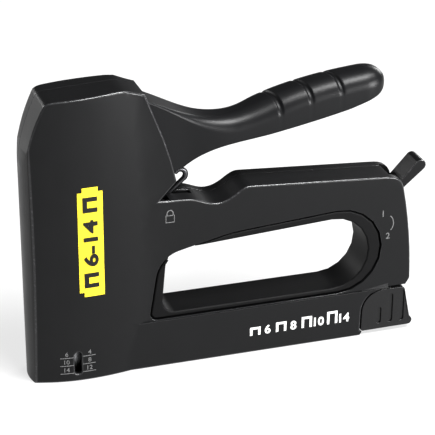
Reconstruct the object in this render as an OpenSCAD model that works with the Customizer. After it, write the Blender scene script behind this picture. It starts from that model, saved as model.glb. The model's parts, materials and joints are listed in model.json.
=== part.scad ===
/* [Overall] */
// Height of the nose above the base
nose_h = 141; // [130:1:172]
// From the staple exit to the back of the body
body_len = 183.4; // [170:0.2:222]
// Height of the grip body above the base
body_h = 87.4; // [78:0.2:92]

/* [Castings] */
// Width of the grip body
body_w = 20.8; // [20:0.2:25]
// How much wider the magazine rail is than the grip body
rail_proud = 1.6; // [0.6:0.2:3]
// Width of the nose at its fullest
nose_w = 30.2; // [28:0.2:36]
// Wall of the castings
wall = 2.4; // [2:0.1:2.8]
// Joint face of the two shells, measured from the middle plane
seam_y = 4.5; // [3:0.5:5]
// Height of the magazine rail
rail_h = 24.2; // [23:0.2:28]
// Thickness of the arm between the finger hole and the top of the body
arm_h = 18.4; // [17.6:0.2:22]

/* [Handle] */
// Full squeeze of the handle, degrees
squeeze = 16; // [10:0.5:16]
// Width of the handle where it enters the nose
handle_root_w = 16.8; // [16:0.2:17.2]
// Width of the grip
grip_w = 19.6; // [17:0.2:22]
// Wall of the cast handle
handle_wall = 2.4; // [2:0.1:2.6]
// Radius of the handle pivot pin
pivot_r = 3; // [2.5:0.1:3.5]

/* [Driving parts] */
// Radius of the drive spring, outside
spring_r = 6; // [5:0.1:6.2]
// Radius of the drive spring's wire
spring_wire_r = 1.1; // [0.8:0.05:1.2]
// Width of the driver blade
blade_w = 10.4; // [10:0.1:10.8]
// Thickness of the driver blade
blade_t = 1.2; // [1:0.1:1.3]

/* [Magazine] */
// Crown of the staple, outside
crown_w = 10.6; // [10.2:0.1:11.2]
// Leg of the staple
leg_h = 10; // [8:1:10]
// Length of the loaded strip
strip_len = 50; // [30:1:60]
// Radius of the magazine rod
rod_r = 1.5; // [1.2:0.1:1.6]

/* [Clearances] */
// Radial clearance of a turning pin
run_fit = 0.05; // [0.02:0.01:0.08]
// Gap between parts that slide past each other
slide_gap = 0.15; // [0.1:0.05:0.25]
// Gap between the handle and the castings on each side of it
show_gap = 0.5; // [0.4:0.05:0.7]

/* [Hidden] */
$fn = 64;
steps = 10;
rail_w = body_w + rail_proud;

// ---- points and outlines shared by several parts ----
function bez(a, b, c, d, n = steps) = [for (i = [0:n]) let (t = i / n, u = 1 - t)
    u * u * u * a + 3 * u * u * t * b + 3 * u * t * t * c + t * t * t * d];
function arc(c, r, a0, a1, n = steps) =
    [for (i = [0:n]) let (t = a0 + (a1 - a0) * i / n) c + r * [cos(t), sin(t)]];
// outline round a counter-clockwise ring of circles [x, z, r], grown by g
function tangent_angle(p, q) = let (d = [q[0] - p[0], q[1] - p[1]])
    atan2(d[1], d[0]) - acos((p[2] - q[2]) / norm(d));
function around(cs, g = 0, n = steps) = [for (i = [0:len(cs) - 1])
    let (p = cs[(i + len(cs) - 1) % len(cs)], c = cs[i], q = cs[(i + 1) % len(cs)],
        a0 = tangent_angle(p, c), turn = (tangent_angle(c, q) - a0 + 720) % 360)
    each arc([c[0], c[1]], c[2] + g, a0, a0 + turn, n)];
function turn_down(p, c, a) = let (d = p - c)
    c + [d[0] * cos(a) + d[1] * sin(a), d[1] * cos(a) - d[0] * sin(a)];

// an outline in the X-Z plane, drawn out from y0 to y1
module plate(y0, y1) {
    translate([0, y1, 0]) rotate([90, 0, 0]) linear_extrude(y1 - y0) children();
}
// a round bar along Y
module bar(p, r, y0, y1) {
    translate([p[0], y1, p[1]]) rotate([90, 0, 0]) cylinder(r = r, h = y1 - y0);
}
module box(x0, x1, y0, y1, z0, z1) {
    translate([x0, y0, z0]) cube([x1 - x0, y1 - y0, z1 - z0]);
}
module half(y0, y1) {
    box(-60, body_len + 60, y0, y1, -20, nose_h + 40);
}

// ---- key places ----
front_x = -6;
front_r = 85;
front_turn_z = nose_h - 43;
nose_mid_x = 19.5;
nose_fore_r = 74;
nose_side_r = 112;
nose_face_r = 25;
// the sides are fullest half way up and draw in towards the base and the top
full_z = nose_h * 0.51;
upright_r = 1500;
function draw_in(z) = (z - full_z) * (z - full_z) / (2 * upright_r);
pivot = [27, nose_h - 21];
roller_at = pivot + [30, -17];
roller_r = 4.5;
fulcrum = roller_at - [23, 11];
lever_turn = squeeze * 1.7375;
tip_at = fulcrum - [29, 4];
lift = turn_down(tip_at, fulcrum, lever_turn)[1] - tip_at[1];
notch = [64.6, body_h + 6.7];
ledge_x = 56.4;
lock_at = [59, body_h - 6.9];
knob_x = body_len - 25.2;
slope_h = 3.4;
rail_top_in = rail_h - 4.6;
lever_at = [body_len - 13.4, body_h - 19.4];
detent_at = lever_at + [1.2, -5.2];

// finger hole: the groove round its rim, and the opening itself
rim_top = body_h - arm_h;
rim_low = rail_h + 0.4;
rim_r = (rim_top - rim_low) / 2;
rim_end = [body_len - 15.9 - rim_r, (rim_top + rim_low) / 2, rim_r];
crest_r = 85;
rim_ring = [[54.6, rim_low + 3.4, 3.4], rim_end, [104, rim_top - 3.2 - crest_r, crest_r],
    [69, rim_top - 24.5, 15]];
open_low = rim_low + 3;
open_r = rim_r - 3.8;
opening_ring = [[64, open_low + 6.5, 6.5], [rim_end[0] - 3, open_low + open_r, open_r],
    [68, rim_top - 18.2, 9]];
groove_w = 0.7;
flange = 2;

// ---- outlines of the castings ----
module nose_outline(g = 0) {
    top = front_turn_z + 40.2;
    polygon(concat([[front_x + g, g], [front_x + g, front_turn_z]],
        [for (p = arc([front_x + front_r, front_turn_z], front_r - g, 180, 152.5)) p],
        bez([4.2 + g, top - g], [5.4, nose_h - 1.9 - g], [6.4, nose_h - 1.7 - g],
            [9, nose_h - 1.5 - g], 4),
        [[37, nose_h + 0.1 - g], [41, nose_h - g], [50.3 + 2 * g, nose_h - 3.4 - g]],
        [[54.4 + 2 * g, nose_h - 14], [58.8 + 2 * g, nose_h - 25.5], [62.2 + 2 * g, nose_h - 36.5],
            notch + [2 * g, 0], [ledge_x + g, body_h - 2.1], [ledge_x, g]]));
}
function body_top(g) = concat(
    [[ledge_x, body_h - 2.1 - g], [70, body_h - 2.8 - g]],
    bez([70, body_h - 2.8 - g], [76, body_h - 3.2 - g], [79, body_h - 6.4 - g], [84, body_h - 6.5 - g]),
    bez([84, body_h - 6.5 - g], [92, body_h - 6.4 - g], [95, body_h + 0.9 - g], [101, body_h - g]));
rear_r = 245;
function rear_edge(g) = arc([body_len - rear_r, 24], rear_r - g, asin((body_h - 35) / rear_r), 1, 6);
module body_outline(g = 0) {
    corner = rear_edge(g)[0];
    polygon(concat([[40, g], [40, body_h - 2.1 - g]], body_top(g),
        bez([body_len - 16, body_h - 4.2 - g], [body_len - 10, body_h - 4.6 - g],
            corner + [-1.5, 6], corner, 6),
        rear_edge(g), [[body_len - 2.4 - g, rail_h + 0.3], [knob_x, rail_h + 0.3], [knob_x, g]]));
}
module rail_outline() {
    polygon([[40, 0], [knob_x - 0.8, 0], [knob_x + 0.6, 2.2], [knob_x + 15, rail_h - 4],
        [knob_x + 15, rail_h], [40, rail_h]]);
}
knob_ring = [[knob_x + 1.2, 3.4, 1.2], [body_len - 1, 4.4, 2], [body_len - 4.4, rail_h - 2.4, 1.8],
    [knob_x + 11.2, rail_h - 11.6, 11]];
// ---- the two castings, before they are split at the joint face ----
module rail_slope(side) {
    x0 = knob_x - 7.8;
    x1 = knob_x + 13.6;
    inside = body_w / 2 - 0.4;
    edge = rail_w / 2 - 0.02;
    foot = rail_h - 1;
    top = rail_h - 0.05;
    scale([1, side, 1]) polyhedron([[x0, inside, foot], [x1, inside, foot], [x1, edge, foot],
        [x0, inside, top], [x1, inside, top + slope_h], [x1, edge, top]],
        [[0, 1, 2], [3, 5, 4], [0, 3, 4, 1], [1, 4, 5, 2], [2, 5, 3, 0]]);
}
module outer_body() {
    intersection() {
        plate(-nose_w, nose_w) nose_outline();
        nose_block(0);
    }
    plate(-body_w / 2, body_w / 2) body_outline();
    plate(-rail_w / 2, rail_w / 2) rail_outline();
    for (s = [-1, 1]) rail_slope(s);
}
// one side of the nose as a turned form of radius r, and both sides over part of its length
module nose_side(side, r, g) {
    low = -10;
    rise = (nose_h + 30) / 14;
    translate([nose_mid_x, side * (r - nose_w / 2), 0]) rotate_extrude($fn = 240)
        polygon(concat([[0, low]], [for (i = [0:14]) [r - g - draw_in(low + rise * i), low + rise * i]],
            [[0, low + rise * 14]]));
}
module nose_sides(x0, x1, r, g) {
    intersection() {
        box(x0, x1, -nose_w, nose_w, -9, nose_h + 19);
        nose_side(-1, r, g);
        nose_side(1, r, g);
    }
}
module nose_skin(g) {
    nose_sides(front_x - 1, nose_mid_x, nose_fore_r, g);
    nose_sides(nose_mid_x, ledge_x + 1, nose_side_r, g);
}
// full sides, rounded front face, and the plain width of the body behind them
module nose_block(g) {
    difference() {
        nose_skin(g);
        difference() {
            box(front_x - 5, front_x + 7, -nose_w, nose_w, -20, nose_h + 30);
            translate([front_x + nose_face_r, 0, -30]) cylinder(r = nose_face_r - g, h = nose_h + 70, $fn = 160);
        }
    }
    box(30, 70, g - body_w / 2, body_w / 2 - g, -5, nose_h + 15);
}
module cavity() {
    intersection() {
        plate(-nose_w, nose_w) nose_outline(wall);
        nose_block(wall);
    }
    inner = body_w / 2 - wall;
    handle_way = handle_root_w / 2 + show_gap;
    // way in for the handle behind the nose, and the lock's slot in the top of the body
    plate(-handle_way, handle_way) polygon([[36, body_h - 5.4], [36, nose_h - 7], [52, nose_h - 6.5],
        [60, nose_h + 2], [75, nose_h], [75, body_h], [61.5, body_h + 2], [61.5, body_h - 5.4]]);
    box(lock_at[0] - 3.4, lock_at[0] + 15, -2.2, 2.2, body_h - 12, body_h + 4);
    // upper arm, rear column and magazine rail
    plate(-inner, inner) polygon([[40, rim_top + 2.8], [40, body_h - 5.4], [80, body_h - 9.6],
        [93, body_h - 8], [101, body_h - wall], [body_len - 17, body_h - wall - 3.8],
        [body_len - 11.6, body_h - wall - 3.8], [body_len - 9, body_h - wall - 8], [body_len - 6.2, body_h - 24],
        [body_len - 12, body_h - 25.5], [lever_at[0] - 12.4, rim_top + 0.2],
        [lever_at[0] - 20, rim_top + 2.8]]);
    rail_in = rail_w / 2 - wall + 0.6;
    box(4, knob_x + 4, -rail_in, rail_in, 1.8, rail_top_in);
}
screw_at = [[18, nose_h - 8.6], [33, 66], [40, 44], [36, 25], [body_len - 8, 32],
    [104, body_h - 6.6], [body_len - 33, body_h - 7.8]];
boss_r = 3.8;
screw_r = 1.6;
module bosses() {
    reach = nose_w / 2;
    handle_side = handle_root_w / 2 + 0.8;
    intersection() {
        union() {
            for (p = screw_at) bar(p, boss_r, -reach, reach);
            for (s = [-1, 1]) {
                bar(pivot, pivot_r + 2.6, min(s * reach, s * handle_side), max(s * reach, s * handle_side));
                bar(fulcrum, 5, min(s * reach, s * 4.5), max(s * reach, s * 4.5));
                bar(lever_at, 4.4, min(s * reach, s * 6.6), max(s * reach, s * 6.6));
                bar(lock_at, 2.6, min(s * reach, s * 2.6), max(s * reach, s * 2.6));
            }
            // shelf that carries the bumper, and seats for the drive spring's cap
            box(-5, 15, -nose_w, nose_w, tip_at[1] - 28, tip_at[1] - 24.4);
            box(5, 13.4, -nose_w, nose_w, nose_h - 14, nose_h - 11.6);
        }
        union() {
            nose_block(1);
            box(60, body_len, 1 - body_w / 2, body_w / 2 - 1, 0, body_h);
        }
    }
}
module pin_holes() {
    bar(pivot, pivot_r + run_fit, -12, 12);
    bar(fulcrum, 2.5 + run_fit, -11.6, 11.6);
    bar(lever_at, 2 + run_fit, -9, 9);
    bar(lock_at, 0.9 + run_fit, -8.4, 8.4);
    // staple exit, blade way and the plates beside it
    box(front_x + 2.2, 3.2, -blade_w / 2 - 0.7, blade_w / 2 + 0.7, -1, 20);
    box(-3.6, 4.4, -8.4, 8.4, 0.9, tip_at[1] - 24);
    box(-3.6, 14.6, -7, 7, tip_at[1] - 24.4, tip_at[1] - 20);
    box(detent_at[0] - 5, detent_at[0] + 6, -4.3, 4.3, detent_at[1] - 0.95, lever_at[1]);
    // slot for the power lever in the rear corner
    box(body_len - 12.4, body_len + 9, -6.6, 6.6, body_h - 26, body_h + 9);
    // way out for the magazine
    plate(-rail_w, rail_w) polygon(around(knob_ring, 0.4));
    box(knob_x - 12, knob_x + 10, -9.4, 9.4, 1.8, rail_top_in);
}
module castings() {
    difference() {
        union() {
            difference() {
                outer_body();
                cavity();
            }
            bosses();
        }
        pin_holes();
        plate(-rail_w, rail_w) polygon(around(rim_ring));
        plate(-6.2, 6.2) polygon(around(rim_ring, flange + 0.2));
    }
}
module main_housing() {
    color("#2b2c2e") difference() {
        intersection() {
            castings();
            half(-40, seam_y);
        }
        for (p = screw_at) bar(p, screw_r + run_fit, -7.6, seam_y + 1);
        // sight slot for the staples
        plate(-nose_w, -3) polygon(around([[15.4, 5.4, 1.6], [15.4, 13.8, 1.6]]));
    }
}
module side_cover() {
    color("#2a2b2d") difference() {
        intersection() {
            castings();
            half(seam_y, 40);
        }
        for (p = screw_at) {
            bar(p, screw_r + run_fit, seam_y - 1, 40);
            bar(p, 3.1, body_w / 2 - 2.4, 40);
        }
    }
}
module cover_screws() {
    head_y = body_w / 2 - 2.4;
    color("#8d8f92") for (p = screw_at) difference() {
        union() {
            bar(p, screw_r, -7, head_y);
            bar(p, 2.8, head_y, head_y + 1.8);
        }
        for (a = [0, 90]) translate([p[0], head_y + 1.3, p[1]]) rotate([0, a, 0])
            cube([3.4, 1.2, 0.8], center = true);
    }
}
module finger_hole_liner() {
    color("#1d1d1f") difference() {
        union() {
            plate(-body_w / 2 + 0.3, body_w / 2 - 0.3) polygon(around(rim_ring, -groove_w));
            plate(-6, 6) polygon(around(rim_ring, flange));
        }
        plate(-body_w, body_w) polygon(around(opening_ring));
    }
}
label_x = [16.8, 28.6];
label_z = [44.5, 98.6];
module label_plate() {
    color("#f2df3a") intersection() {
        difference() {
            nose_skin(-0.3);
            nose_skin(-0.04);
        }
        box(label_x[0], label_x[1], -nose_w, -nose_w / 4, label_z[0], label_z[1]);
    }
}

// ---- handle ----
grip_end = body_len - 15.5;
grip_rise = nose_h - 4.2;
module handle_outline() {
    polygon(concat(arc(pivot, 8, 215, 95, 12), [[44, nose_h - 8.4], [50.2, nose_h - 6.6]],
        bez([50.2, nose_h - 6.6], [66, nose_h - 13.5], [74, nose_h - 19.2], [87, nose_h - 19.2]),
        bez([87, nose_h - 19.2], [97, nose_h - 19.2], [103, nose_h - 15.2], [115, nose_h - 11.6]),
        bez([115, nose_h - 11.6], [127, nose_h - 8], [grip_end - 26, nose_h - 5.6],
            [grip_end - 11, grip_rise]),
        bez([grip_end - 11, grip_rise], [grip_end - 5, grip_rise + 0.6], [grip_end, nose_h - 6.5],
            [grip_end, nose_h - 11], 8),
        bez([grip_end, nose_h - 11], [grip_end - 0.1, nose_h - 14.5], [grip_end - 5, nose_h - 17],
            [grip_end - 9.3, nose_h - 18.3], 8),
        bez([grip_end - 9.3, nose_h - 18.3], [grip_end - 28, nose_h - 23.8], [112, nose_h - 29],
            [92, nose_h - 32]),
        bez([92, nose_h - 32], [82, nose_h - 33.5], [75, nose_h - 36.5], [68.3, nose_h - 41.4], 8),
        [[64, nose_h - 43.2], [52, nose_h - 43.4]]));
}
module handle_hollow() {
    w = handle_wall;
    polygon(concat([[10, nose_h - 60], [10, nose_h], [38, nose_h], [40, nose_h - 12], [50, nose_h - 10.4]],
        bez([50, nose_h - 10.2], [64, nose_h - 15.6], [72, nose_h - 22.6], [87, nose_h - 22.6]),
        bez([87, nose_h - 22.6], [99, nose_h - 22.4], [104, nose_h - 18.6], [116, nose_h - 15.2]),
        [[grip_end - 16, nose_h - 4.2 - 2 * w], [grip_end - 4 - w, nose_h - 9], [grip_end - w - 3, nose_h - 60]]));
}
module handle_plan(g = 0) {
    a = handle_root_w / 2 - g;
    b = grip_w / 2 - g;
    right = concat([[10, a], [66, a]], bez([66, a], [76, a], [80, b], [94, b], 8),
        bez([grip_end - 12, b], [grip_end - 4, b], [grip_end, b - 3], [grip_end, 0], 8));
    polygon(concat(right, [for (i = [len(right) - 1:-1:0]) [right[i][0], -right[i][1]]]));
}
groove_x = [111.8, 126.4, 141];
module handle() {
    color("#242527") difference() {
        intersection() {
            plate(-grip_w, grip_w) handle_outline();
            translate([0, 0, nose_h - 60]) linear_extrude(80) handle_plan();
        }
        plate(-handle_root_w / 2 + handle_wall + 0.4, handle_root_w / 2 - handle_wall - 0.4) handle_hollow();
        bar(pivot, pivot_r + run_fit, -20, 20);
        bar(roller_at, 2 + run_fit, -20, 20);
        bar(catch_at, 1 + run_fit, -handle_root_w / 2 + 0.8, handle_root_w / 2 - 0.8);
        for (i = [0:2]) translate([groove_x[i], -grip_w, nose_h - 10.3 + i * 2.1])
            rotate([0, -15 + 3 * i, 0]) cube([1.6, 2 * grip_w, 4]);
    }
}
module handle_pivot_pin() {
    color("#9a9ca0") bar(pivot, pivot_r, -11.8, 11.8);
}
module handle_roller() {
    color("#b4b6ba") difference() {
        bar(roller_at, roller_r, -5.2, 5.2);
        bar(roller_at, 2 + run_fit, -6, 6);
    }
}
module roller_pin() {
    color("#9a9ca0") bar(roller_at, 2, -handle_root_w / 2 + 0.3, handle_root_w / 2 - 0.3);
}

// ---- handle lock: a wire hook that reaches over the catch pin when the handle is shut ----
lock_turn = 20;
lock_mouth = lock_at + [10, 12.5];
wire_r = 1.15;
hook_r = 2.7;
hook_sweep = 205;
catch_shut = turn_down(lock_mouth, lock_at, -lock_turn);
catch_at = turn_down(catch_shut, pivot, -squeeze);
module handle_lock() {
    to_mouth = lock_mouth - lock_at;
    lean = atan2(to_mouth[1], to_mouth[0]) - asin(hook_r / norm(to_mouth));
    color("#2f3032") {
        difference() {
            union() {
                bar(lock_at, 2.2, -1.6, 1.6);
                translate([lock_at[0], 0, lock_at[1]]) rotate([0, 90 - lean, 0])
                    cylinder(r = wire_r, h = sqrt(norm(to_mouth) * norm(to_mouth) - hook_r * hook_r) + 0.3);
                translate([lock_mouth[0], 0, lock_mouth[1]]) rotate([90, 0, 0]) rotate([0, 0, lean - 90])
                    rotate_extrude(angle = hook_sweep) translate([hook_r, 0]) circle(wire_r + 0.12);
            }
            bar(lock_at, 0.9 + run_fit, -3, 3);
        }
    }
}
module handle_lock_pin() {
    color("#9a9ca0") bar(lock_at, 0.9, -8, 8);
}
module lock_catch_pin() {
    color("#9a9ca0") bar(catch_at, 1, -handle_root_w / 2 + 1, handle_root_w / 2 - 1);
}

// ---- springs ----
module coil(r, wire, z0, z1, turns, sides, per_turn) {
    n = round(turns * per_turn);
    rise = (z1 - z0 - 2 * wire) / n;
    pts = [for (i = [0:n]) let (a = 360 * i / per_turn, h = z0 + wire + rise * i)
        for (k = [0:sides - 1]) let (b = 360 * k / sides)
            [(r - wire + wire * cos(b)) * cos(a), (r - wire + wire * cos(b)) * sin(a), h + wire * sin(b)]];
    skin = [for (i = [0:n - 1]) for (k = [0:sides - 1])
        let (m = (k + 1) % sides, a = i * sides, b = a + sides)
        each [[a + k, b + k, b + m], [a + k, b + m, a + m]]];
    polyhedron(pts, concat([[for (k = [0:sides - 1]) k]], skin,
        [[for (k = [sides - 1:-1:0]) n * sides + k]]), convexity = 10);
}
spring_x = 8.6;
plunger_z = tip_at[1] - 18;
plunger_h = 26;
cap_z = nose_h - 17;
cap_reach = nose_w / 2 - wall - 2 - draw_in(cap_z + 2.9);
module drive_spring() {
    color("#6d7074") translate([spring_x, 0, 0])
        coil(spring_r, spring_wire_r, plunger_z + plunger_h + 0.2, cap_z - 0.2, 5.5, 8, 20);
}
module handle_return_spring() {
    color("#6d7074") translate([pivot[0], 0, pivot[1]]) rotate([90, 0, 0])
        coil(pivot_r + 2, 0.6, -4.6, 4.6, 5, 6, 16);
}
module pusher_spring() {
    color("#85888c") translate([pusher_x + 9.4, 0, rod_z]) rotate([0, 90, 0])
        coil(3, 0.4, 0, knob_x - 9.6 - pusher_x - 9.4, 20, 6, 12);
}

// ---- lifting and driving parts ----
module lifter_lever() {
    pad = roller_at[1] - roller_r - 0.3;
    color("#7f8286") difference() {
        plate(-3.8, 3.8) union() {
            polygon(around([[tip_at[0], tip_at[1], 2.3], [fulcrum[0], fulcrum[1] - 0.5, 4],
                [fulcrum[0], fulcrum[1] + 1, 4]]));
            polygon(around([[fulcrum[0], fulcrum[1], 4.4], [roller_at[0] + 0.8, pad - 1.5, 1.5],
                [roller_at[0] - 9, pad - 1.5, 1.5]]));
        }
        bar(fulcrum, 2.5 + run_fit, -6, 6);
    }
}
module lever_fulcrum_pin() {
    color("#9a9ca0") bar(fulcrum, 2.5, -11.4, 11.4);
}
module plunger() {
    top = plunger_z + plunger_h;
    color("#5c5f63") {
        difference() {
            box(1, 11.4, -6, 6, plunger_z, top);
            box(2.2, 12, -4.4, 4.4, tip_at[1] - 6, tip_at[1] + 4.8);
            bar([5, plunger_z + 4], 1.6, -7, 7);
        }
        translate([spring_x, 0, top - 1]) cylinder(r = spring_r - 2 * spring_wire_r - 0.5, h = 4);
        translate([-0.5, 0, plunger_z + 8]) rotate([0, 90, 0]) cylinder(r = 2, h = 1.7);
    }
}
module driver_blade() {
    color("#a9acb0") difference() {
        box(-blade_t / 2, blade_t / 2, -blade_w / 2, blade_w / 2, 0.4, plunger_z + 20);
        translate([-2, 0, plunger_z + 8]) rotate([0, 90, 0]) cylinder(r = 2 + run_fit, h = 4);
    }
}
module spring_cap() {
    color("#5c5f63") difference() {
        union() {
            translate([spring_x, 0, cap_z]) cylinder(r = spring_r + 0.2, h = 2.9);
            box(5.4, 11.8, -cap_reach, cap_reach, cap_z, cap_z + 2.9);
            translate([spring_x, 0, cap_z - 4]) cylinder(r = spring_r - 2 * spring_wire_r - 0.5, h = 5);
        }
        translate([spring_x, 0, cap_z - 6]) cylinder(r = 1.2, h = 20);
    }
}
module rubber_bumper() {
    low = tip_at[1] - 24.2;
    color("#161616") difference() {
        plate(-6.8, 6.8) polygon(around([[2.8, low + 1.5, 1.5], [12.6, low + 1.5, 1.5],
            [12.2, plunger_z - 1.3, 1], [3.2, plunger_z - 1.3, 1]], 0, 4));
        box(-2, 2, -blade_w / 2 - 0.5, blade_w / 2 + 0.5, low - 1, plunger_z + 1);
    }
}
guide_top = tip_at[1] - 28.6;
module nose_plate() {
    color("#b9bcc0") difference() {
        box(-3.4, -blade_t / 2 - slide_gap, -8.1, 8.1, 1.1, guide_top);
        for (z = [guide_top - 8, 30]) translate([-6, 0, z]) rotate([0, 90, 0]) cylinder(r = 1.7, h = 8);
    }
}
module blade_guide() {
    color("#9da0a4") difference() {
        box(-blade_t / 2, 4.2, -8.1, 8.1, leg_h + 4.4, guide_top);
        box(-2, blade_t / 2 + slide_gap, -blade_w / 2 - slide_gap, blade_w / 2 + slide_gap, 0, guide_top + 1);
    }
}

// ---- magazine ----
track_z = 2 + leg_h;
track_w = crown_w - 1.3;
channel_in = crown_w / 2 + 0.25;
channel_end = knob_x - 9;
rod_z = 7.4;
strip_x = blade_t / 2 + 0.4;
pusher_x = strip_x + strip_len + 0.3;
module magazine_channel() {
    color("#a3a6aa") difference() {
        box(4.6, channel_end, -channel_in - 1, channel_in + 1, 2, track_z + 4);
        box(0, channel_end + 4, -channel_in, channel_in, 0, track_z + 3);
    }
}
module staple_track() {
    color("#8f9296") difference() {
        box(strip_x + 0.6, channel_end, -track_w / 2, track_w / 2, 2, track_z);
        box(0, channel_end + 4, -track_w / 2 + 1, track_w / 2 - 1, 0, track_z - 1);
        box(14, channel_end + 4, -1.6, 1.6, 0, track_z + 2);
    }
}
module staple_strip() {
    wire = 0.5;
    color("#d9dbde") difference() {
        box(strip_x, strip_x + strip_len, -crown_w / 2, crown_w / 2, track_z + 0.5 - leg_h, track_z + 0.6 + wire);
        box(-1, strip_x + strip_len + 1, -crown_w / 2 + wire, crown_w / 2 - wire, 0, track_z + 0.6);
    }
}
module pusher() {
    back = pusher_x + 13;
    color("#6d7074") difference() {
        union() {
            difference() {
                box(pusher_x, back, -crown_w / 2, crown_w / 2, track_z - 5, track_z + 1.6);
                box(pusher_x - 1, back + 1, -track_w / 2 - slide_gap, track_w / 2 + slide_gap,
                    0, track_z + 2 * slide_gap);
            }
            box(pusher_x + 2, pusher_x + 9, -1.2, 1.2, rod_z - 2.8, track_z + 1);
            translate([pusher_x + 2, 0, rod_z]) rotate([0, 90, 0]) cylinder(r = 3, h = 7);
        }
        translate([pusher_x, 0, rod_z]) rotate([0, 90, 0]) cylinder(r = rod_r + run_fit, h = 40);
    }
}
module magazine_rod() {
    color("#b4b6ba") {
        translate([pusher_x - 6, 0, rod_z]) rotate([0, 90, 0]) cylinder(r = rod_r, h = knob_x + 4 - pusher_x + 6);
        translate([pusher_x - 8, 0, rod_z]) rotate([0, 90, 0]) cylinder(r = rod_r + 0.9, h = 2);
    }
}
module magazine_knob() {
    side = rail_w / 2;
    color("#19191b") difference() {
        union() {
            plate(-side, side) polygon(around(knob_ring));
            plate(-side + 0.2, side - 0.2)
                polygon(around([[body_len - 10, 4, 1.6], [body_len - 0.2, 4.4, 2.2], [body_len - 5, 11, 1.4]]));
            box(knob_x - 9, knob_x + 3, -8.6, 8.6, 2.2, rail_top_in - 0.4);
        }
        // pocket for the thumb, grip flutes on both sides, socket of the rod
        translate([body_len + 26, 0, 16]) rotate([90, 0, 0]) cylinder(r = 27.5, h = 13, center = true);
        for (s = [-1, 1]) for (i = [0:2]) translate([0, s * side, 0])
            plate(-0.8, 0.8) polygon(around([[knob_x + 9.3 + 6 * i, 6.4, 1.1],
                [knob_x + 9.3 + 6 * i, [13, 19.6, 20.8][i], 1.1]], 0, 6));
        translate([knob_x - 10, 0, rod_z]) rotate([0, 90, 0]) cylinder(r = rod_r, h = 14);
    }
}

// ---- power lever at the back, and the bar it draws ----
lever_len = 24.6;
crank = [-8, 6];
power_turn = 35;
module power_lever() {
    color("#222325") translate([lever_at[0], 0, lever_at[1]]) difference() {
        union() {
            bar([0, 0], 3.6, -5.6, 5.6);
            rotate([0, -44, 0]) plate(-6, 6)
                polygon(around([[0, 0, 1.3], [lever_len, 0, 2.8]]));
            plate(-1.4, 1.4) polygon(around([[0, 0, 3], [crank[0], crank[1], 2.2]]));
            bar(crank, 1.5, -3.4, 3.4);
        }
        bar([0, 0], 2 + run_fit, -9, 9);
    }
}
module power_lever_pin() {
    color("#9a9ca0") bar(lever_at, 2, -8.8, 8.8);
}
module power_bar() {
    low = max(rim_top + 3.2, lever_at[1] + 4.2);
    mid = lever_at[0] + crank[0] - 0.14;
    pin_z = lever_at[1] + crank[1];
    color("#8f9296") difference() {
        union() {
            box(71, mid + 3.9, 1.9, 3.1, low, low + 3.2);
            box(mid - 3.9, mid + 3.9, 1.9, 3.1, low, pin_z + 6.6);
            box(67, 75, -3, 3.1, low, low + 3);
        }
        plate(1, 4) polygon(around([[mid, low - 4, 1.95], [mid, pin_z + 3.7, 1.95]]));
    }
}
module lever_detent() {
    p = detent_at;
    color("#a3a6aa") plate(-4, 4) polygon([[p[0] - 4.6, p[1] - 0.95], [p[0] - 2.6, p[1] - 0.95],
        [p[0] - 0.5, p[1] + 0.3], [p[0] + 0.5, p[1] + 0.3], [p[0] + 2.6, p[1] - 0.95],
        [p[0] + 4.6, p[1] - 0.95], [p[0] + 4.6, p[1] - 0.45], [p[0] + 2.9, p[1] - 0.45],
        [p[0] + 0.8, p[1] + 0.8], [p[0] - 0.8, p[1] + 0.8], [p[0] - 2.9, p[1] - 0.45],
        [p[0] - 4.6, p[1] - 0.45]]);
}

main_housing();
side_cover();
cover_screws();
finger_hole_liner();
label_plate();
handle();
handle_pivot_pin();
handle_roller();
roller_pin();
lock_catch_pin();
handle_return_spring();
lifter_lever();
lever_fulcrum_pin();
plunger();
driver_blade();
drive_spring();
spring_cap();
rubber_bumper();
nose_plate();
blade_guide();
magazine_channel();
staple_track();
staple_strip();
pusher();
pusher_spring();
magazine_rod();
magazine_knob();
power_lever();
power_lever_pin();
power_bar();
lever_detent();
handle_lock();
handle_lock_pin();
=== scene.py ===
import json
import math

import bmesh
import bpy
import numpy as np
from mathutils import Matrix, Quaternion, Vector
from mathutils.bvhtree import BVHTree


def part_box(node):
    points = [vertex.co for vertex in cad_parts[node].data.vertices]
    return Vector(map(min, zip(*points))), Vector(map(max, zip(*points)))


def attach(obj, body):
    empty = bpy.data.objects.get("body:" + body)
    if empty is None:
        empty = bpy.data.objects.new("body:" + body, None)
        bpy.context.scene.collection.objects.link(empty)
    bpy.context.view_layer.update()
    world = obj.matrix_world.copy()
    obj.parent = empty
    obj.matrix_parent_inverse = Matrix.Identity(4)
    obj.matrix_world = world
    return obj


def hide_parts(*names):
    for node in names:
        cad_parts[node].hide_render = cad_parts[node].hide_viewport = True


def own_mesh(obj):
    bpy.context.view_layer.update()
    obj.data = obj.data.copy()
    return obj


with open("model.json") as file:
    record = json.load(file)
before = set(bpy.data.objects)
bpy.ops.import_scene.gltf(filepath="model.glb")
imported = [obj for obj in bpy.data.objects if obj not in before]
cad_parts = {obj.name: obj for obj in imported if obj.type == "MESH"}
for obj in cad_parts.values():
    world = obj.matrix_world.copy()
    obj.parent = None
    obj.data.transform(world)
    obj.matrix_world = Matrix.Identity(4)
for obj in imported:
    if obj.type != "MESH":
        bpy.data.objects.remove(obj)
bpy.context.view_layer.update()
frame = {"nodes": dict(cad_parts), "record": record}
mm = 0.001

# ---- The two body castings ----
# Thin-walled aluminium pressure castings, split along a flat joint face on the far side of the tool.
# Both are powder coated satin black over all. Their outside edges are rounded about a millimetre, and
# the joint shows as a fine line along the top, the nose and the back.


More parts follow.
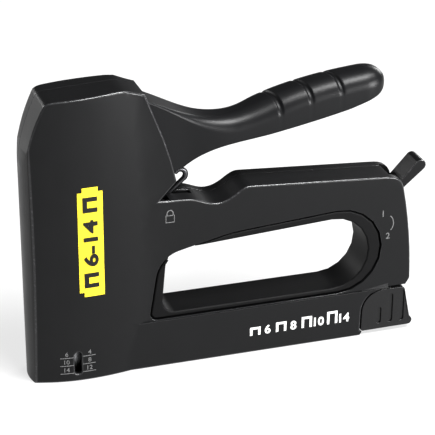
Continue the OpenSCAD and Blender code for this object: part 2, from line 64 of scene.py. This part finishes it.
class Signal:
    """A shader socket that takes part in arithmetic: each operator adds a Math node."""

    def __init__(self, finish, socket):
        self.finish = finish
        self.socket = socket

    def _math(self, operation, *values):
        sockets = dict(enumerate(values))
        return self.finish.add("Math", {"operation": operation}, sockets)

    def __add__(self, other):
        return self._math("ADD", self, other)

    def __radd__(self, other):
        return self._math("ADD", other, self)

    def __sub__(self, other):
        return self._math("SUBTRACT", self, other)

    def __rsub__(self, other):
        return self._math("SUBTRACT", other, self)

    def __mul__(self, other):
        return self._math("MULTIPLY", self, other)

    def __rmul__(self, other):
        return self._math("MULTIPLY", other, self)


class Finish:
    """A material with one Principled shader. Keyword arguments set that shader's own sockets."""

    def __init__(self, name, **constants):
        self.material = bpy.data.materials.new(name)
        self.material.use_nodes = True
        self.tree = self.material.node_tree
        self.shader = self.tree.nodes["Principled BSDF"]
        for socket, value in constants.items():
            self.shader.inputs[socket.replace("_", " ")].default_value = value

    def add(self, kind, settings, sockets, outlet=0):
        made = self.tree.nodes.new("ShaderNode" + kind)
        stops = settings.pop("stops", None)
        for name, value in settings.items():
            setattr(made, name, value)
        if stops:
            ramp = made.color_ramp.elements
            for place, value in zip(ramp, stops):
                place.position, place.color = value[0], (*[value[1]] * 3, 1)
        for name, value in sockets.items():
            if isinstance(value, Signal):
                self.tree.links.new(value.socket, made.inputs[name])
            else:
                made.inputs[name].default_value = value
        return Signal(self, made.outputs[outlet])

    def place(self, stretch=(1, 1, 1)):
        """Points on the piece, in millimetres, stretched along each axis."""
        points = self.add("TexCoord", {}, {}, "Object")
        scale = [s / mm for s in stretch]
        return self.add("VectorMath", {"operation": "MULTIPLY"}, {0: points, 1: scale})

    def grain(self, size, detail=2.0, roughness=0.5, stretch=(1, 1, 1)):
        sockets = {"Vector": self.place(stretch), "Scale": 1 / size, "Detail": detail,
                   "Roughness": roughness}
        return self.add("TexNoise", {}, sockets)

    def ramp(self, value, low, high, first=0.0, last=1.0):
        return self.add("ValToRGB", {"stops": [(low, first), (high, last)]}, {"Fac": value})

    def blend(self, mask, first, second):
        settings = {"data_type": "RGBA"}
        return self.add("Mix", settings, {0: mask, 6: first, 7: second}, 2)

    def bump(self, height, distance, strength=1.0):
        sockets = {"Height": height, "Distance": distance * mm, "Strength": strength}
        return self.add("Bump", {}, sockets)

    def feed(self, socket, signal):
        self.tree.links.new(signal.socket, self.shader.inputs[socket])


def paint_worn_and_lit_at_edges(name, colour, bare_and_highlight, gloss, grain, depth, wear):
    """Powder coat: a fine stipple, slow changes of gloss, and paint rubbed thin along the edges, with a
    painted highlight: every rounded edge is painted lighter.
    """
    coat = Finish(name, Specular_IOR_Level=0.24, Coat_Roughness=0.22)
    stipple = coat.grain(grain, 3.0, 0.55)
    cloud = coat.grain(18.0, 3.0, 0.6)
    scuff = coat.ramp(coat.grain(1.6, 4.0, 0.65), 0.52, 0.72)
    edge = coat.add("Attribute", {"attribute_name": "edge"}, {}, "Fac")
    # Painted highlight: every rounded edge is moved part of the way to the lighter edge colour (the 0.22),
    # worn or not; the scuff noise adds real rubbed-through wear on top.
    rubbed_and_highlight = edge * (scuff * wear + 0.22)
    tone = coat.ramp(cloud, 0.3, 0.7, 0.0, 0.5)
    shade = tuple(c * 0.72 for c in colour)
    plain = coat.blend(tone, (*colour, 1), (*shade, 1))
    coat.feed("Base Color", coat.blend(rubbed_and_highlight, plain, (*bare_and_highlight, 1)))
    coat.feed("Roughness", cloud * 0.10 + stipple * 0.06 + (gloss - 0.08) - edge * 0.12)
    coat.feed("Coat Weight", edge * 0.6)
    coat.feed("Normal", coat.bump(stipple, depth, 0.55))
    return coat.material


def smooth_piece(name, made, body, finish, sharp=35, crisp=()):
    """A mesh piece that rides on a body, with smooth shading up to an angle but for the crisp edges."""
    bmesh.ops.recalc_face_normals(made, faces=made.faces)
    for face in made.faces:
        face.smooth = True
    for edge in made.edges:
        if len(edge.link_faces) == 2:
            edge.smooth = edge.calc_face_angle() < math.radians(sharp)
    for edge in crisp:
        edge.smooth = False
    mesh = bpy.data.meshes.new(name)
    made.to_mesh(mesh)
    made.free()
    mesh.materials.append(finish)
    piece = bpy.data.objects.new(name, mesh)
    bpy.context.scene.collection.objects.link(piece)
    weighted = piece.modifiers.new("flat faces stay flat", "WEIGHTED_NORMAL")
    weighted.keep_sharp = True
    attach(piece, body)
    return piece


def cad_form(node):
    """A CAD node's form as one closed skin, its flat faces whole."""
    made = bmesh.new()
    made.from_mesh(frame["nodes"][node].data)
    bmesh.ops.remove_doubles(made, verts=made.verts, dist=0.002 * mm)
    turn = math.radians(0.6)
    bmesh.ops.dissolve_limit(made, angle_limit=turn, verts=made.verts, edges=made.edges)
    return made


def round_edges(made, edges, radius, steps=3):
    """Rounds these edges, and marks the middle of each rounding as the place that rubs first and that is
    painted lighter as a highlight.
    """
    layer = made.verts.layers.float.get("edge") or made.verts.layers.float.new("edge")
    done = bmesh.ops.bevel(made, geom=edges, offset=radius * mm, offset_type="OFFSET",
                           segments=steps, profile=0.5, affect="EDGES", clamp_overlap=False)
    fresh = set(done["faces"])
    for vert in done["verts"]:
        if vert.is_valid and all(face in fresh for face in vert.link_faces):
            vert[layer] = 1.0


def refill_flank(made, side):
    """Fills the flat outer faces of a casting afresh from their rims, after those were rounded."""
    while True:
        start = next((f for f in made.faces if f.normal.y * side > 0.999 and len(f.verts) > 12
                      and not f.tag), None)
        if start is None:
            break
        flat, reach = {start}, [start]
        while reach:
            face = reach.pop()
            for edge in face.edges:
                for near in edge.link_faces:
                    if near not in flat and near.normal.dot(start.normal) > 0.99995:
                        flat.add(near)
                        reach.append(near)
        edges = {edge for face in flat for edge in face.edges}
        rim = [edge for edge in edges if len([f for f in edge.link_faces if f in flat]) == 1]
        normal = start.normal.copy()
        bmesh.ops.delete(made, geom=list(flat), context="FACES_ONLY")
        bmesh.ops.delete(made, geom=[e for e in edges - set(rim) if e.is_valid], context="EDGES")
        fresh = bmesh.ops.triangle_fill(made, use_beauty=True, edges=rim, normal=normal)["geom"]
        for face in fresh:
            if isinstance(face, bmesh.types.BMFace):
                face.tag = True


# How far off an edge a ray starts when it looks for the open.
probe = 0.05 * mm


def outside_edges(made, least=28):
    """Convex edges that look out into the open."""
    skin = BVHTree.FromBMesh(made)
    found = []
    for edge in made.edges:
        if len(edge.link_faces) != 2 or not edge.is_convex:
            continue
        if edge.calc_face_angle() < math.radians(least):
            continue
        one, two = (face.normal for face in edge.link_faces)
        away = (one + two).normalized()
        middle = (edge.verts[0].co + edge.verts[1].co) / 2
        if skin.ray_cast(middle + away * probe, away)[0] is None:
            found.append(edge)
    return found


# The box (X and Z, in millimetres) round the short slope at the back of the rail, whose edges stay crisp.
slope_low, slope_high = (149.0, 23.0), (174.0, 28.6)
# The finger hole, and the ledge along the top of the rail: edges there lie close together.
hole_middle = Vector((105, 0, 43)) * mm
hole_top, hole_front = 75 * mm, 48 * mm
ledge_z, ledge_front = 24.2 * mm, 50 * mm
fine_radius = 0.25


def casting(name, node, side, joint_y, radius, joint_radius):
    """One body casting: side is -1 for the near one and 1 for the far one."""
    made = cad_form(node)
    skin = BVHTree.FromBMesh(made)
    rim, fine, joint = [], [], []
    for edge in made.edges:
        if len(edge.link_faces) != 2 or not edge.is_convex:
            continue
        if edge.calc_face_angle() < math.radians(25):
            continue
        middle = (edge.verts[0].co + edge.verts[1].co) / 2
        if all(low < at < high for low, at, high in zip(slope_low, middle.xz / mm, slope_high)):
            continue
        faces = edge.link_faces
        flank = [f for f in faces if f.normal.y * side > 0.6]
        seam = [f for f in faces if f.normal.y * side < -0.95 and abs(middle.y - joint_y) < 0.1 * mm]
        if len(flank) == 1:
            way = flank[0].normal
            if skin.ray_cast(middle + way * probe, way)[0] is None:
                other = next(f for f in faces if f is not flank[0])
                faces_hole = other.normal.dot(hole_middle - middle) > 0
                inward = faces_hole and middle.z < hole_top and middle.x > hole_front
                ledge = abs(middle.z - ledge_z) < 0.4 * mm and middle.x > ledge_front
                (fine if inward or ledge else rim).append(edge)
        elif seam:
            other = [f for f in faces if f not in seam]
            if other:
                way = other[0].normal
                start = middle + way * probe + Vector((0, side * 0.4 * mm, 0))
                if skin.ray_cast(start, way)[0] is None:
                    joint.append(edge)
    round_edges(made, joint, joint_radius, 2)
    # Edges that lie close together are rounded less, so that the roundings don't run into each other.
    round_edges(made, [edge for edge in fine if edge.is_valid], fine_radius, 2)
    round_edges(made, [edge for edge in rim if edge.is_valid], radius)
    refill_flank(made, side)
    bmesh.ops.holes_fill(made, edges=[e for e in made.edges if len(e.link_faces) == 1], sides=4)
    crisp = [edge for edge in made.edges if edge.calc_face_angle() > math.radians(4)
             and all(low < at < high for vert in edge.verts
                     for low, at, high in zip(slope_low, vert.co.xz / mm, slope_high))]
    piece = smooth_piece(name, made, "body", cast_paint, crisp=crisp)
    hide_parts(node)


# The second colour is the lighter edge colour: rubbed paint and a painted highlight along every rounded
# edge.
cast_paint = paint_worn_and_lit_at_edges("black_powder_coat", (0.010, 0.0102, 0.0108), (0.10, 0.10, 0.105),
                        0.36, 0.32, 0.03, 0.6)
joint_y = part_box("side_cover")[0].y
casting("near_casting", "main_housing", -1, joint_y, 0.9, 0.25)
casting("far_casting", "side_cover", 1, joint_y, 0.9, 0.25)

# ---- Finger hole liner ----
# One black moulding that lines the hole for the fingers. It is held by a flange between the castings,
# and a fine groove shows all round it on both sides.


def moulded_plastic(name, colour, gloss, grain, depth, shine=0.3):
    """Injection moulded plastic: spark-eroded grain and faint flow marks."""
    plastic = Finish(name, Specular_IOR_Level=shine)
    fine = plastic.grain(grain, 2.0, 0.5)
    flow = plastic.grain(12.0, 3.0, 0.6, (0.4, 1, 1))
    tone = plastic.ramp(flow, 0.35, 0.7, 0.0, 0.4)
    lighter = tuple(c * 1.35 for c in colour)
    plastic.feed("Base Color", plastic.blend(tone, (*colour, 1), (*lighter, 1)))
    plastic.feed("Roughness", fine * 0.10 + flow * 0.06 + (gloss - 0.08))
    plastic.feed("Normal", plastic.bump(fine, depth, 0.5))
    return plastic.material


liner_plastic = moulded_plastic("liner_plastic", (0.006, 0.006, 0.0063), 0.50, 0.25, 0.02, 0.14)
liner = cad_form("finger_hole_liner")
round_edges(liner, outside_edges(liner), 0.8)
liner = smooth_piece("finger_liner", liner, "body", liner_plastic)
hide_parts("finger_hole_liner")

# ---- Handle ----
# A cast lever, a channel open below, that widens into a rounded grip with three grooves across its top.
# It is coated like the body, and it turns on a pin in the nose.


def sweep(*points, steps=14):
    """Points along a cubic curve from its four control points."""
    a, b, c, d = (np.array(p, float) for p in points)
    t = np.linspace(0, 1, steps)[:, None]
    return (1 - t)**3 * a + 3 * (1 - t)**2 * t * b + 3 * (1 - t) * t**2 * c + t**3 * d


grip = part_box("handle")
grip_end = grip[1].x / mm
grip_half = grip[1].y / mm
root_half = grip_half - 1.4
upper = np.vstack([
    [[20.4, 126], [24, 127.6], [30, 128.6], [44, 132.6], [50.2, 134.4]],
    sweep((50.2, 134.4), (66, 127.5), (74, 121.8), (87, 121.8)),
    sweep((87, 121.8), (97, 121.8), (103, 125.8), (115, 129.4)),
    sweep((115, 129.4), (127, 133), (grip_end - 26, 135.4), (grip_end - 11, 136.8)),
    sweep((grip_end - 11, 136.8), (grip_end - 5, 137.4), (grip_end, 134.5), (grip_end, 130), steps=24)])
lower = np.vstack([
    [[20.4, 115.4], [52, 97.6], [64, 97.8]],
    sweep((68.3, 99.6), (75, 104.5), (82, 107.5), (92, 109)),
    sweep((92, 109), (112, 112), (grip_end - 28, 117.2), (grip_end - 9.3, 122.7)),
    sweep((grip_end - 9.3, 122.7), (grip_end - 5, 124), (grip_end - 0.1, 126.5), (grip_end, 130),
          steps=24)])
plan = np.vstack([
    [[20, root_half], [66, root_half]],
    sweep((66, root_half), (76, root_half), (80, grip_half), (94, grip_half)),
    sweep((grip_end - 12, grip_half), (grip_end - 4, grip_half), (grip_end, grip_half - 3), (grip_end, 0),
          steps=24)])
groove_at = [111.8, 126.4, 141.0]
groove_half = 1.1
groove_depth = 0.75
groove_slant = 3.0
groove_drift = 0.2
linkage_end, grip_start = 53, 100
linkage_round, grip_round = 1.0, 8.6
side_wall, roof_wall = 2.4, 3.4


def handle_section(x):
    """The ring of points round the channel at one place along the handle."""
    top = np.interp(x, upper[:, 0], upper[:, 1])
    foot = np.interp(x, lower[:, 0], lower[:, 1])
    half = max(np.interp(x, plan[:, 0], plan[:, 1]), 0.15)
    tall = max(top - foot, 0.3)
    full = np.clip((x - linkage_end) / (grip_start - linkage_end), 0, 1)
    eased = full * full * (3 - 2 * full)
    round_top = min(linkage_round + (grip_round - linkage_round) * eased, half * 0.97, tall * 0.62)
    round_foot = min(1.1, tall * 0.25, half * 0.4)
    wall = min(side_wall, half * 0.5)
    deep = np.clip((grip_end - 6 - x) / 4, 0, 1)
    roof = foot + max((tall - roof_wall) * deep, 0.05)
    inner = half - wall
    side = []
    for i in range(9):
        a = math.radians(180 - 90 * i / 8)
        side.append((-half + round_top * (1 + math.cos(a)), top - round_top * (1 - math.sin(a))))
    low = []
    for i in range(5):
        a = math.radians(270 - 90 * i / 4)
        low.append((-half + round_foot * (1 + math.cos(a)), foot + round_foot * (1 + math.sin(a))))
    left = [(-inner, foot)] + low + side
    right = [(-y, z) for y, z in reversed(left)]
    shoulder = roof - min(0.8, (roof - foot) / 2)
    flat = inner * 0.85
    return left + right + [(inner, shoulder), (flat, roof), (-flat, roof), (-inner, shoulder)]


stations = set(np.round(np.arange(20.5, grip_end - 8, 1.5), 3))
stations |= set(np.round(grip_end - 8.2 * np.cos(np.linspace(0, math.pi / 2, 14)), 3))
for place in groove_at:
    stations |= set(np.round(np.linspace(place - 1.8, place + 1.8, 13), 3))
stations = sorted(stations)
handle = bmesh.new()
handle.verts.layers.float.new("edge")
rings = []
for x in stations:
    ring = []
    for y, z in handle_section(x):
        cut = sum(math.exp(-((x - g - i * groove_drift) / groove_half)**4) for i, g in enumerate(groove_at))
        top = np.interp(x, upper[:, 0], upper[:, 1])
        near_top = np.clip((z - (top - 9.0)) / 6.0, 0, 1)
        slant = groove_slant * np.clip((x - 95) / 12, 0, 1) * np.clip((grip_end - 8 - x) / 14, 0, 1)
        z_cut = z - groove_depth * cut * near_top
        y_cut = y * (1 - 0.05 * cut * near_top)
        vert = handle.verts.new(((x - slant * y / grip_half) * mm, y_cut * mm, z_cut * mm))
        ring.append(vert)
    rings.append(ring)
count = len(rings[0])
for one, two in zip(rings, rings[1:]):
    for i in range(count):
        j = (i + 1) % count
        handle.faces.new((one[i], one[j], two[j], two[i]))
handle.faces.new(rings[0])
handle.faces.new(list(reversed(rings[-1])))
grip_paint = paint_worn_and_lit_at_edges("handle_coat", (0.009, 0.0092, 0.010), (0.10, 0.10, 0.105),
                        0.36, 0.35, 0.025, 0.5)
handle = smooth_piece("squeeze_lever", handle, "squeeze_handle", grip_paint, 40)
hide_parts("handle")

# ---- Magazine knob ----
# The black plastic end of the magazine. It snaps into the back of the rail, and it has a flared foot,
# three flutes on each side and a hollow for the thumb.
knob_plastic = moulded_plastic("knob_plastic", (0.008, 0.008, 0.0085), 0.26, 0.4, 0.015, 0.45)
knob = cad_form("magazine_knob")
round_edges(knob, outside_edges(knob), 0.35, 2)
knob = smooth_piece("magazine_grip", knob, "magazine", knob_plastic)
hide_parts("magazine_knob")

# ---- Power lever ----
# A small black die casting in the top rear corner. It turns on a cross pin, and a fork draws the bar
# that sets how hard the tool strikes.
lever_paint = paint_worn_and_lit_at_edges("lever_coat", (0.009, 0.009, 0.0095), (0.15, 0.15, 0.155), 0.34, 0.3, 0.03, 0.8)
power = cad_form("power_lever")
round_edges(power, outside_edges(power), 0.5, 2)
power = smooth_piece("strike_selector", power, "selector", lever_paint)
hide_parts("power_lever")

# ---- Handle lock ----
# A blackened steel wire bent into a hook. It swings over a pin in the handle and holds it shut.


def metal(name, colour, gloss, streak=(1, 1, 1), marks=0.08):
    """Plated or ground steel with fine lines along it and small patches of different gloss."""
    steel = Finish(name, Metallic=1.0)
    lines = steel.grain(0.6, 4.0, 0.6, streak)
    patch = steel.grain(5.0, 3.0, 0.6)
    tone = steel.ramp(patch, 0.3, 0.75, 0.0, 0.6)
    darker = tuple(c * 0.78 for c in colour)
    steel.feed("Base Color", steel.blend(tone, (*colour, 1), (*darker, 1)))
    steel.feed("Roughness", lines * marks + patch * 0.08 + (gloss - 0.08))
    steel.feed("Normal", steel.bump(lines, 0.01, 0.4))
    return steel.material


steels = {
    "zinc_steel": metal("bright_zinc", (0.62, 0.63, 0.65), 0.30, (0.15, 1, 1)),
    "hard_steel": metal("ground_steel", (0.42, 0.43, 0.45), 0.32, (1, 0.2, 1)),
    "spring_steel": metal("spring_wire", (0.30, 0.31, 0.33), 0.36),
    "black_steel": metal("blackened_steel", (0.10, 0.10, 0.105), 0.38),
    "staple_wire": metal("staple_strip_wire", (0.75, 0.76, 0.78), 0.28, (4, 0.3, 1), 0.2),
}
rubber = moulded_plastic("bumper_rubber", (0.02, 0.02, 0.02), 0.8, 0.5, 0.08)

# ---- Springs ----
# Round oil-tempered wire, wound open. The main spring sits against its cap above the plunger, and the long
# thin one along the magazine lies between the knob and the pusher. Neither is squeezed here: the joint,
# travel and axis given for each are not used.
wound = (("drive_spring", "main_spring", "body", "handle_squeeze", 14.0, 2),
         ("pusher_spring", "follower_spring", "magazine", "pusher_slide", 30.0, 0))
for node, name, body, joint, travel, axis in wound:
    spring = smooth_piece(name, cad_form(node), body, steels["spring_steel"], 60)
    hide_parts(node)
    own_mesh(spring)

# ---- Steel parts and the bumper ----
# Zinc plated pressings and pins, ground steel for what strikes and lifts, and a block of black rubber.
record = frame["record"]
slot_of = {row["node"]: row["material_slot"] for row in record["subparts"]}
for node, thing in frame["nodes"].items():
    if thing.hide_render:
        continue
    finish = steels.get(slot_of[node], rubber)
    thing.data.materials.clear()
    thing.data.materials.append(finish)

# ---- Label ----
# Yellow foil, three tenths thick, glued to the bowed side of the nose. Three of its corners are
# stepped, and it is printed in black with a staple at each end and the range of leg lengths between them.

nose_half = -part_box("main_housing")[0].y / mm
crease_x, fullest_z = 19.5, 71.9
front_bow, rear_bow, upright_bow = 74, 112, 1500


def nose_skin(x, z):
    """How far the bowed near side of the nose stands out, as a Y value."""
    bow = (x - crease_x)**2 / (2 * (front_bow if x < crease_x else rear_bow))
    return -(nose_half - bow - (z - fullest_z)**2 / (2 * upright_bow))


def laid(points, x, z, turn):
    """Points turned by an angle in degrees and moved to a place on the side of the tool."""
    c, k = math.cos(math.radians(turn)), math.sin(math.radians(turn))
    return [(x + u * c - v * k, z + u * k + v * c) for u, v in points]


def staple(x, z, wide, leg, wire, turn=0):
    """The outline of a staple, from the corner at its lower left, as seen upright."""
    shape = [(0, 0), (wire, 0), (wire, leg - wire), (wide - wire, leg - wire), (wide - wire, 0), (wide, 0),
             (wide, leg), (0, leg)]
    return laid(shape, x, z, turn)


def figures(text, x, z, tall, turn=0, heavy=0.0, span=None):
    """Faces of plain numbers, centred on a place."""
    font = bpy.data.curves.new("figures", "FONT")
    font.body, font.offset = text, heavy
    holder = bpy.data.objects.new("figures", font)
    bpy.context.scene.collection.objects.link(holder)
    flat = holder.to_mesh()
    points = np.array([v.co[:2] for v in flat.vertices])
    low, high = points.min(0), points.max(0)
    size = tall / (high[1] - low[1])
    sizes = np.array([span / (high[0] - low[0]) if span else size, size])
    placed = laid((points - (low + high) / 2) * sizes, x, z, turn)
    shapes = [[placed[i] for i in face.vertices] for face in flat.polygons]
    holder.to_mesh_clear()
    bpy.data.objects.remove(holder)
    bpy.data.curves.remove(font)
    return shapes


def band(points, wide, closed=False):
    """Four-sided shapes along a line of points."""
    line = [Vector(p) for p in points]
    count = len(line)
    left, right = [], []
    for i, here in enumerate(line):
        back = line[(i - 1) % count] if closed or i else here
        ahead = line[(i + 1) % count] if closed or i + 1 < count else here
        way = (ahead - back).normalized()
        out = Vector((-way.y, way.x)) * wide / 2
        left.append(here + out)
        right.append(here - out)
    ends = range(count if closed else count - 1)
    return [[left[i], right[i], right[(i + 1) % count], left[(i + 1) % count]] for i in ends]


def bow_line(x, z, wide, tall, start, stop, every):
    """Points along part of an oval: wide and tall are its half sizes, the angles are in degrees."""
    angles = [math.radians(a) for a in range(start, stop, every)]
    return [(x + wide * math.cos(a), z + tall * math.sin(a)) for a in angles]


def printed(name, shapes, skin, lift, root, finish):
    """Flat shapes given a thickness and laid on the body: they stand from root to lift above its skin."""
    made = bmesh.new()
    for shape in shapes:
        made.faces.new([made.verts.new((p[0] * mm, 0, p[1] * mm)) for p in shape])
    bmesh.ops.remove_doubles(made, verts=made.verts, dist=0.01 * mm)
    xs = [v.co.x for v in made.verts]
    cuts = np.arange(math.floor(min(xs) / mm), math.ceil(max(xs) / mm), 1.5)
    for cut in cuts if skin is nose_skin else []:
        everything = made.verts[:] + made.edges[:] + made.faces[:]
        bmesh.ops.bisect_plane(made, geom=everything, plane_co=(cut * mm, 0, 0), plane_no=(1, 0, 0))
    bmesh.ops.triangulate(made, faces=made.faces)
    raised = bmesh.ops.extrude_face_region(made, geom=made.faces[:])["geom"]
    raised = {v for v in raised if isinstance(v, bmesh.types.BMVert)}
    for vert in made.verts:
        stand = lift if vert in raised else root
        vert.co.y = (skin(vert.co.x / mm, vert.co.z / mm) - stand) * mm
    return smooth_piece(name, made, "body", finish)


def ink(name, colour, gloss):
    """Printing ink with a slightly uneven film."""
    film = Finish(name, Specular_IOR_Level=0.3)
    patch = film.grain(0.7, 3.0, 0.6)
    thin = tuple(c * 0.86 for c in colour)
    film.feed("Base Color", film.blend(patch, (*colour, 1), (*thin, 1)))
    film.feed("Roughness", patch * 0.15 + (gloss - 0.08))
    film.feed("Normal", film.bump(patch, 0.004, 0.3))
    return film.material


foil = ink("yellow_foil", (0.80, 0.655, 0.045), 0.42)
black_ink = ink("black_ink", (0.012, 0.012, 0.012), 0.5)
left, right, foot, head = 16.8, 28.6, 44.5, 98.6
step = 2.2
outline = [(left, foot + step), (left + step, foot + step), (left + step, foot), (right, foot),
           (right, foot + step), (right, head - step), (right - step, head - step),
           (right - step, head), (left + step, head), (left + step, head - step), (left, head - step)]
sheet = printed("yellow_label", [outline], nose_skin, 0.25, 0.05, foil)
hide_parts("label_plate")
glyphs = figures("6-14", 22.6, 71.3, 6.8, 90, 0.03, 23.0)
for start in (49.0, 86.6):
    glyphs.append(staple(26.0, start, 7.4, 6.8, 2.1, 90))
printed("label_figures", glyphs, nose_skin, 0.285, 0.2, black_ink)

# ---- Marks on the body ----
# Numbers and signs printed on the coat: white staples and leg lengths along the rail, the scale beside
# the sight slot, a padlock beside the handle lock, and the two settings of the power lever.

white_ink = ink("white_ink", (0.78, 0.78, 0.77), 0.5)
grey_ink = ink("grey_ink", (0.16, 0.16, 0.16), 0.5)
body_side, rail_side = -10.4, -11.2
first_mark, mark_pitch = 100.5, 13.2
lengths = ["6", "8", "10", "14"]
row = []
for i, length in enumerate(lengths):
    start = first_mark + i * mark_pitch
    row.append(staple(start, 9.0, 5.4, 4.4 + i * 0.8, 1.3))
    row += figures(length, start + 9.0, 11.4, 4.8, 0, 0.03)
printed("rail_figures", row, lambda x, z: rail_side, 0.06, -0.1, white_ink)

scale = []
for i, (z, one, two) in enumerate([(4.7, "14", "12"), (8.9, "10", "8"), (13.1, "6", "4")]):
    scale += band([(6.9, z), (13.3, z)], 0.4) + band([(17.6, z + 0.2), (23.6, z + 0.2)], 0.4)
    scale += figures(one, 10.0, z + 2.0, 2.3, 0, 0.015) + figures(two, 20.8, z + 2.2, 2.3, 0, 0.015)
printed("slot_scale", scale, nose_skin, 0.09, -0.15, grey_ink)

arch = bow_line(61.2, 78.6, 1.5, 1.7, 0, 181, 20)
padlock = band([(62.7, 77.6)] + arch + [(59.7, 77.6)], 0.5)
padlock += band([(59.2, 74.3), (63.2, 74.3), (63.2, 77.7), (59.2, 77.7)], 0.5, True)
settings = figures("1", 167.4, 64.2, 3.2, 0, 0.01) + figures("2", 170.4, 52.2, 3.2, 0, 0.01)
settings += band(bow_line(169.4, 58.6, 3.6, 4.6, -50, 61, 10), 0.45)
printed("side_marks", padlock + settings, lambda x, z: body_side, 0.05, -0.1, grey_ink)

# ---- Floor, lights and camera ----
# A pale sweep of paper, with a soft box high on the right for the edges, a low one in front, a wide weak
# one overhead and two behind. The paper gives off a little light of its own, so that it stays white.
floor_mesh = bpy.data.meshes.new("floor")
reach = 6.0
floor_mesh.from_pydata([(-reach, -reach, 0), (reach, -reach, 0), (reach, reach, 0), (-reach, reach, 0)], [],
                       [(0, 1, 2, 3)])
paper = Finish("paper", Roughness=0.9, Specular_IOR_Level=0.05, Emission_Color=(1, 1, 1, 1),
               Emission_Strength=0.72)
paper_tone = paper.grain(60.0, 2.0, 0.5)
paper.feed("Base Color", paper.blend(paper_tone, (0.21, 0.21, 0.21, 1), (0.20, 0.20, 0.20, 1)))
floor_mesh.materials.append(paper.material)
floor = bpy.data.objects.new("floor", floor_mesh)
bpy.context.scene.collection.objects.link(floor)

look_at = Vector((87.4, 0, 68.6)) * mm
view_turn, view_rise, lean = -18.06, 24.78, math.radians(0.35)
distance = 0.8


def toward(turn, rise):
    """The direction from the tool to a place round it: turn 0 is in front, rise is above the floor."""
    a, e = math.radians(turn), math.radians(rise)
    return Vector((math.sin(a) * math.cos(e), -math.cos(a) * math.cos(e), math.sin(e)))


def softbox(name, turn, rise, away, wide, tall, watts):
    """A flat lamp that looks at the tool, placed by direction and distance."""
    lamp = bpy.data.lights.new(name, "AREA")
    lamp.shape = "RECTANGLE"
    lamp.size, lamp.size_y, lamp.energy = wide, tall, watts
    box = bpy.data.objects.new(name, lamp)
    bpy.context.scene.collection.objects.link(box)
    way = toward(turn, rise)
    box.location = look_at + way * away
    box.rotation_mode = "QUATERNION"
    box.rotation_quaternion = (-way).to_track_quat("-Z", "Y")


softbox("edge_box", 34, 59, 1.2, 0.7, 0.3, 28)
softbox("front_fill", 38, 8, 1.6, 0.6, 0.5, 34)
softbox("ceiling", 0, 88, 2.2, 2.4, 2.4, 6)
softbox("back_right", 128, 18, 1.8, 0.8, 0.6, 16)
softbox("back_left", 222, 18, 1.8, 0.8, 0.6, 16)
world = bpy.data.worlds.new("studio")
bpy.context.scene.world = world
world.use_nodes = True
world.node_tree.nodes["Background"].inputs["Color"].default_value = (1, 1, 1, 1)
world.node_tree.nodes["Background"].inputs["Strength"].default_value = 0.08

bpy.context.scene.view_settings.view_transform = "Standard"
bpy.context.scene.view_settings.gamma = 0.84
lens = bpy.data.cameras.new("camera")
sensor_width, picture_width, picture_scale = 36, 435, 2.13
lens.sensor_width = sensor_width
lens.lens = sensor_width * picture_scale * distance / mm / picture_width
lens.clip_start, lens.clip_end = 0.01, 50
camera = bpy.data.objects.new("camera", lens)
bpy.context.scene.collection.objects.link(camera)
back = toward(view_turn, view_rise)
camera.location = look_at + back * distance
camera.rotation_mode = "QUATERNION"
camera.rotation_quaternion = (-back).to_track_quat("-Z", "Y") @ Quaternion((0, 0, 1), lean)
bpy.context.scene.camera = camera
